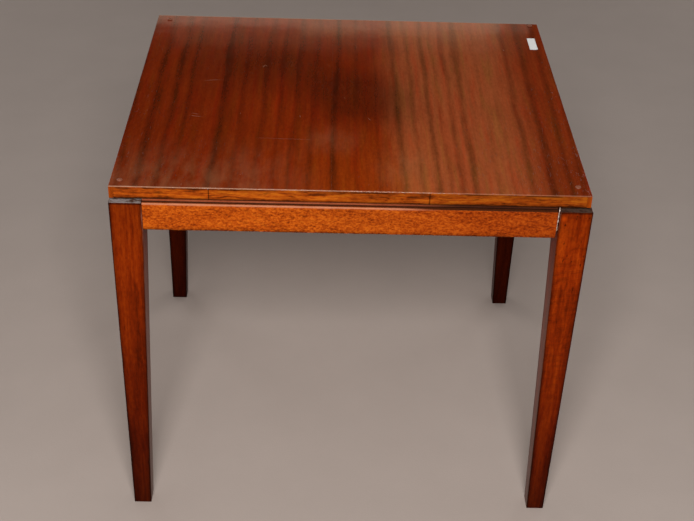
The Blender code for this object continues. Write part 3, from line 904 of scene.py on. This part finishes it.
def add_cylinder(shape, node, radius, play):
    """Adds a round cutter along a CAD node's long axis."""
    low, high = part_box(node)
    size = high - low
    axis = "xyz"[max(range(3), key=lambda i: size[i])]
    length = max(size) + 2 * play
    middle = Matrix.Translation((low + high) / 2)
    start = len(shape.verts)
    ring_stack(shape, [circle(radius, z, DRILL_SIDES) for z in (-length / 2, length / 2)])
    shape.verts.ensure_lookup_table()
    bmesh.ops.transform(shape, matrix=middle @ ALONG[axis], verts=shape.verts[start:])


def drill(piece, dowels, screws=()):
    """Bores the holes that dowels and screws sit in."""
    shape = bmesh.new()
    for node in dowels:
        low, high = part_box(node)
        add_cylinder(shape, node, sorted(high - low)[0] / 2 + DRILL_PLAY, DRILL_PLAY)
    for node in screws:
        add_cylinder(shape, node, SCREW_BORE, DRILL_PLAY)
    carve(piece, shape)


def settle(piece, slot_name, *nodes):
    """Makes a finished piece ride on the frame, in place of its CAD nodes."""
    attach(piece, "root")
    if nodes:
        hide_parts(*nodes)


# ======== The top ========
def add_veneer():
    """Three leaves of veneer whose outer arris is rounded and worn."""
    chips = {
        "left": ((-0.318, 3, 0.0004, 0.006), (-0.205, 3, 0.0007, 0.004), (-0.090, 3, 0.0003, 0.010)),
        "middle": ((0.010, 3, 0.0003, 0.008),),
        "right": ((0.108, 3, 0.0006, 0.004), (0.250, 3, 0.0003, 0.006)),
    }
    for leaf in LEAVES:
        node = "top_veneer_" + leaf
        low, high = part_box(node)
        if leaf != "left":
            low.x -= LEAF_CLOSING
        if leaf != "right":
            high.x += LEAF_CLOSING
        ends = (
            VENEER_ARRIS * 0.8 if leaf == "left" else SHARP_ARRIS,
            VENEER_ARRIS * 0.8 if leaf == "right" else SHARP_ARRIS,
        )
        arrises = (SHARP_ARRIS, SHARP_ARRIS, VENEER_ARRIS * 0.8, VENEER_ARRIS * 0.8)
        piece = bar("veneer_leaf_" + leaf, "x", low, high, arrises, [veneer(leaf)], ends, 0.4,
                    (0.0012, 0.003), chips[leaf])
        settle(even_normals(piece), "top_veneer", node)


def add_lippings():
    """Solid strips round the core. The left and right ones show their end grain at the corners."""
    long_look = lipping("lipping_along", "x")
    side_look = lipping("lipping_side", "y")
    orange = (0.37, 0.060, 0.003), (0.21, 0.028, 0.001)
    end_look = end_grain("lipping_end", *orange, (0.30, 0.06, 0.004), 0.2, SATIN)
    notches = {
        "front_lipping_left": ((-0.207, 0, 0.0012, 0.003),),
        "front_lipping_middle": ((-0.200, 0, 0.0014, 0.002), (0.111, 3, 0.0006, 0.002)),
        "front_lipping_right": ((0.114, 3, 0.0008, 0.003),),
    }
    arrises = (STRIP_ARRIS,) * 4
    for node in (*notches, "rear_lipping", "left_lipping", "right_lipping"):
        low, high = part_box(node)
        axis = "y" if node in ("left_lipping", "right_lipping") else "x"
        looks = [side_look if axis == "y" else long_look, end_look]
        piece = bar(node.replace("_", "-"), axis, low, high, arrises, looks, wear=0.5,
                    nicks=notches.get(node, ()))
        settle(even_normals(piece), "lipping", node)


def add_bumpers():
    """Four clear domes with a short straight skirt."""
    look = clear_bumper()
    for corner in CORNERS:
        low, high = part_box("bumper_" + corner)
        radius, tall = (high.x - low.x) / 2, high.z - low.z
        skirt, steps = 0.22, 9
        profile = [(radius * 0.93, 0.0), (radius, 0.08 * tall), (radius, skirt * tall)]
        for i in range(1, steps + 1):
            angle = 0.5 * math.pi * i / (steps + 0.35)
            rise = skirt + (1 - skirt) * math.sin(angle)
            profile.append((radius * math.cos(angle) ** 0.8, rise * tall))
        profile[-1] = (profile[-1][0], tall)
        place = Matrix.Translation(((low.x + high.x) / 2, (low.y + high.y) / 2, low.z))
        settle(turned("soft-bumper_" + corner, profile, look, place), "bumper", "bumper_" + corner)


def add_label():
    """A blank paper label whose near corner has lifted a little."""
    low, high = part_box("blank_label")
    across, along = 8, 26
    shape = bmesh.new()

    def level(u, v):
        lifted = max(0.0, u + (1 - v) - 1.55) / 0.45
        bubble = 0.5 + 0.5 * noise.noise(Vector((u * 2.3, v * 6.1, 0.4)))
        return low.z + 0.0009 * lifted**2 + 0.00006 * bubble

    def sheet(rise):
        rows = []
        for j in range(along + 1):
            row = []
            for i in range(across + 1):
                u, v = i / across, j / along
                x = low.x + u * (high.x - low.x)
                y = low.y + v * (high.y - low.y)
                row.append(shape.verts.new((x, y, level(u, v) + rise)))
            rows.append(row)
        for near, far in zip(rows, rows[1:]):
            for i in range(across):
                shape.faces.new((near[i], near[i + 1], far[i + 1], far[i]))
        return rows

    def rim(rows):
        bottom, top = rows[0], rows[-1][::-1]
        right = [row[-1] for row in rows[1:-1]]
        left = [row[0] for row in rows[1:-1]][::-1]
        return bottom + right + top + left

    band(shape, rim(sheet(0.0)), rim(sheet(high.z - low.z)))
    settle(new_piece("paper-label", shape, paper()), "label", "blank_label")


# ======== The frame ========
def corners_near(node, z):
    """Lowest and highest corner of a CAD node's section, from its vertices near a height."""
    points = [v.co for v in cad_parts[node].data.vertices if abs(v.co.z - z) < LEVEL_REACH]
    return [Vector(pick(p[i] for p in points) for i in range(2)) for pick in (min, max)]


def add_legs():
    """Square tapered legs. Only the two inner faces taper, and only below the rails."""
    polish = leg("leg_polish")
    brown = (0.12, 0.05, 0.03), (0.05, 0.02, 0.012)
    tops = dict.fromkeys(CORNERS, end_grain("leg_top_dusty", *brown, (0.35, 0.30, 0.29), 0.85))
    # The front-right leg's top gets a darker copy of the dusty end grain: painted shade, for the shadow
    # over that leg's top
    dark = (0.07, 0.022, 0.012), (0.03, 0.010, 0.006)
    tops["front_right"] = end_grain("leg_top_painted_shade", *dark, (0.16, 0.12, 0.09), 0.30)
    for corner in CORNERS:
        node = "leg_" + corner
        low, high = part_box(node)
        levels = [(z, *corners_near(node, z)) for z in (low.z, RAIL_BOTTOM, high.z)]

        def taper(z, levels=levels):
            (z0, low0, high0), (z1, low1, high1) = levels[:2] if z < RAIL_BOTTOM else levels[1:]
            share = (z - z0) / (z1 - z0)
            return low0.lerp(low1, share), high0.lerp(high1, share)

        nicks = ((0.30, 0, 0.0010, 0.005), (0.09, 1, 0.0012, 0.006), (0.41, 2, 0.0008, 0.004))
        piece = bar("tapered-leg_" + corner, "z", low, high, (LEG_ARRIS,) * 4, [polish, tops[corner]],
                    (0.0010, 0.0008), 0.35, SHOULDERS, nicks, taper)
        drill(piece, [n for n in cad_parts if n.startswith("dowel_") and f"_at_{corner}_" in n])
        settle(even_normals(piece), "leg", node)


def straight_box(node, twin):
    """The box of a swung node before it was swung, from its unswung twin, and the swing."""
    low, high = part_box(node)
    twin_low, twin_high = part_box(twin)
    half = (twin_high - twin_low) / 2
    middle = (low + high) / 2
    swing = math.asin(((high.x - low.x) - 2 * half.x) / (2 * half.y))
    return middle - half, middle + half, middle, swing


def add_rails():
    """Rails and the spacer strips on them. The right-hand ones have swung with the front leg."""
    rail_looks = {"x": rail("rail_along", "x"), "y": rail("rail_side", "y")}
    strip_looks = {"x": spacer("spacer_along", "x"), "y": spacer("spacer_side", "y")}
    cut_end = end_grain("rail_end", (0.30, 0.10, 0.04), (0.16, 0.05, 0.02), (0.40, 0.30, 0.22), 0.4)
    for side in SIDES:
        axis = "x" if side in ("front", "rear") else "y"
        for kind, looks, arris, slot_name in (
            ("rail", rail_looks, RAIL_ARRIS, "rail"),
            ("spacer", strip_looks, STRIP_ARRIS, "spacer"),
        ):
            node = f"{kind}_{side}"
            low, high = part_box(node)
            middle, swing = (low + high) / 2, 0.0
            if side == "right":
                low, high, middle, swing = straight_box(node, kind + "_left")
            shoulders = SHOULDERS[:2] if kind == "rail" else ()
            piece = bar(f"{side}-{kind}", axis, low, high, (arris,) * 4, [looks[axis], cut_end],
                        (0.0003, 0.0003), 0.35, shoulders)
            if swing:
                pivot = Matrix.Translation(middle)
                piece.data.transform(pivot @ Matrix.Rotation(swing, 4, "Z") @ pivot.inverted())
            if kind == "rail":
                dowels = [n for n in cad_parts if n.startswith(f"dowel_{side}_at_")]
                kind_of_screw = "end" if axis == "x" else "side"
                screws = [f"block_screw_{c}_{kind_of_screw}" for c in CORNERS if side in c]
                drill(piece, dowels, screws)
            settle(even_normals(piece), slot_name, node)


def add_glue():
    """Torn old glue in the opened joint between the front rail and the right leg.

    It stands up out of the joint to the underside of the top, and leans to the rail lower down.
    """
    rail_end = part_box("rail_front")[1].x
    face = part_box("rail_front")[0].y
    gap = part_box("leg_front_right")[0].x - rail_end
    top, bottom = DECK_LOW.z - 0.0004, FRAME_TOP - 0.031
    steps, sides = 46, 8
    shape = bmesh.new()
    rings = []
    for i in range(steps + 1):
        share = i / steps
        z = top + (bottom - top) * share
        ragged = noise.noise(Vector((z * 420, 3.7, 1.1)))
        knots = noise.noise(Vector((z * 190, 9.2, 4.3)))
        x = rail_end + gap * (0.66 - 0.38 * share + 0.22 * knots + 0.10 * ragged)
        wide = gap * max(0.06, 0.27 + 0.26 * ragged + 0.30 * knots) * (1 - 0.45 * share)
        deep = 0.0014 + 0.0006 * ragged
        y = face + 0.0010 + deep + 0.0004 * knots
        ring = []
        for k in range(sides):
            angle = 2 * math.pi * k / sides
            ring.append((x + wide * math.cos(angle), y + deep * math.sin(angle), z))
        rings.append(ring)
    ring_stack(shape, rings)
    settle(new_piece("dried-glue", shape, dried_glue()), "dowel")


# ======== Fastenings and hidden pieces ========
def add_screw(node, look):
    """A slotted countersunk wood screw with a true helical thread, from its CAD node's box."""
    low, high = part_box(node)
    size = high - low
    index = max(range(3), key=lambda i: size[i])
    length, head_radius = size[index], sorted(size)[0] / 2
    middle = (low + high) / 2
    # The head faces down, or towards the middle of the table.
    inward = Vector((0, 0, 0))
    inward[index] = -1.0 if index == 2 or middle[index] > 0 else 1.0
    place = Matrix.Translation(middle) @ inward.to_track_quat("Z", "Y").to_matrix().to_4x4()
    core_radius, ridge, pitch = head_radius * 0.36, head_radius * 0.15, THREAD_PITCH
    tip, thread_end = -length / 2, length * 0.12
    head_low = length / 2 - head_radius * 0.70
    steps_per_turn = 6
    rings = [circle(core_radius * 0.12, tip)]
    count = int((thread_end - tip) / pitch * steps_per_turn)
    for i in range(1, count):
        z = tip + (thread_end - tip) * i / count
        taper = min(1.0, (z - tip) / POINT_LENGTH)

        def threaded(turn, z=z, taper=taper):
            phase = (z / pitch - turn) % 1.0
            crest = max(0.0, 1 - abs(phase - 0.5) / 0.30)
            return (core_radius + ridge * crest) * taper

        rings.append(circle(threaded, z))
    shank = core_radius + ridge
    rings += [circle(shank, thread_end + 0.0008), circle(shank, head_low)]
    for share, below in ((0.97, 0.0005), (1.0, 0.0003), (0.985, 0.00006), (0.93, 0.0)):
        rings.append(circle(head_radius * share, length / 2 - below))
    shape = bmesh.new()
    ring_stack(shape, rings)
    bmesh.ops.transform(shape, matrix=place, verts=shape.verts)
    piece = new_piece("wood-" + node, shape, look)
    slot_shape = bmesh.new()
    bmesh.ops.create_cube(slot_shape, size=1.0)
    turn = Matrix.Rotation(1.3 * (sum(middle) * 40 % 3), 4, "Z")
    sized = Matrix.Diagonal((head_radius * 2.4, head_radius * 0.24, head_radius * 0.56, 1.0))
    at_head = place @ Matrix.Translation((0, 0, length / 2)) @ turn @ sized
    bmesh.ops.transform(slot_shape, matrix=at_head, verts=slot_shape.verts)
    carve(piece, slot_shape)
    piece.data.shade_smooth()
    piece.data.set_sharp_from_angle(angle=SMOOTH_BELOW)
    settle(piece, "screw", node)


def add_screws():
    look = old_screw()
    for node in sorted(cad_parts):
        if "_screw_" in node:
            add_screw(node, look)


def finish_cad_nodes():
    """CAD nodes whose shape is right keep it and get their finish."""
    block, dowel = sawn_block(), pale_dowel()
    looks = {"top_core": core_board(), "backing_veneer": backing_sheet()}
    for node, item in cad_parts.items():
        if node.startswith("corner_block_"):
            looks[node] = block
        elif node.startswith("dowel_"):
            looks[node] = dowel
        if node in looks:
            item.data.materials.clear()
            item.data.materials.append(looks[node])


# ======== Floor, light and camera ========
def add_floor():
    shape = bmesh.new()
    bmesh.ops.create_grid(shape, x_segments=4, y_segments=4, size=FLOOR_HALF)
    floor = new_piece("studio_floor", shape, pale_floor())


def add_lamp(name, location, target, size, power, tint=(1.0, 1.0, 1.0)):
    """A rectangular soft lamp that the camera doesn't see."""
    light = bpy.data.lights.new(name, "AREA")
    light.shape = "RECTANGLE"
    light.size, light.size_y = size
    light.energy = power
    light.color = tint
    lamp = linked(name, light)
    aim = Vector(target) - Vector(location)
    turn = aim.to_track_quat("-Z", "Y").to_matrix().to_4x4()
    lamp.matrix_world = Matrix.Translation(location) @ turn
    lamp.visible_camera = False


def add_strip(name, left, right, height, tall, density, tint):
    """A strip of light behind the table for the top to reflect, of a power per square metre."""
    middle, width = (left + right) / 2, right - left
    power = density * width * tall
    add_lamp(name, (middle, STRIP_PLACE, height), (middle, 0.0, height), (width, tall), power, tint)


def add_lights():
    """A key lamp in front, four fills, one overhead and the strips behind the table."""
    middle = (0, 0, 0.45)
    add_lamp("key", (-0.05, -2.05, 1.95), middle, (0.9, 0.6), 60.0, (1.0, 0.985, 0.965))
    for name, out, back, size, power in (
        ("fill", 2.7, 0.2, (3.0, 1.6), 7.0),
        ("fill_back", 2.0, 2.4, (1.2, 1.2), 9.0),
    ):
        add_lamp(name + "_left", (-out, back, LAMP_HEIGHT), middle, size, power)
        add_lamp(name + "_right", (out, back, LAMP_HEIGHT), middle, size, power)
    add_lamp("overhead", (0.0, 0.7, 3.4), middle, (1.6, 1.2), 8.0)
    pale, warm = (1.0, 0.72, 0.52), (1.0, 0.68, 0.40)
    # The last 60 mm of the low and upper strips are half as bright, for a soft end
    add_strip("low_strip", -0.475, 0.325, 0.686, 0.152, 2.63, pale)
    add_strip("low_strip_end", 0.325, 0.385, 0.686, 0.152, 1.20, pale)
    add_strip("middle_strip", -0.095, 0.295, 0.769, 0.014, 1.71, warm)
    add_strip("upper_strip", -0.360, 0.325, 0.784, 0.044, 0.54, warm)
    add_strip("upper_strip_end", 0.325, 0.385, 0.784, 0.044, 0.25, warm)


def add_backdrop():
    """A wall that the camera sees in the colour of the far floor, and that gives little light."""
    world = bpy.data.worlds.new("studio")
    world.use_nodes = True
    tree = world.node_tree
    dim = tree.nodes["Background"]
    dim.inputs["Color"].default_value = (1.0, 0.80, 0.60, 1.0)
    dim.inputs["Strength"].default_value = 0.02
    wall = tree.nodes.new("ShaderNodeBackground")
    wall.inputs["Color"].default_value = (*FAR_COLOUR, 1.0)
    wall.inputs["Strength"].default_value = FAR_GLOW
    mixed = tree.nodes.new("ShaderNodeMixShader")
    tree.links.new(tree.nodes.new("ShaderNodeLightPath").outputs["Is Camera Ray"], mixed.inputs[0])
    tree.links.new(dim.outputs[0], mixed.inputs[1])
    tree.links.new(wall.outputs[0], mixed.inputs[2])
    tree.links.new(mixed.outputs[0], tree.nodes["World Output"].inputs["Surface"])
    bpy.context.scene.world = world


def add_camera():
    data = bpy.data.cameras.new("camera")
    data.lens = 65.29
    data.sensor_width = 36.0
    camera = linked("camera", data)
    camera.location = (-0.04037, -1.83750, 1.51839)
    camera.rotation_euler = Euler([math.radians(a) for a in (56.185, -1.629, -0.319)], "XYZ")
    bpy.context.scene.camera = camera


add_camera()
add_veneer()
add_lippings()
add_bumpers()
add_label()
add_legs()
add_rails()
add_glue()
add_screws()
finish_cad_nodes()
add_floor()
add_lights()
add_backdrop()
bpy.context.scene.view_settings.view_transform = "Standard"
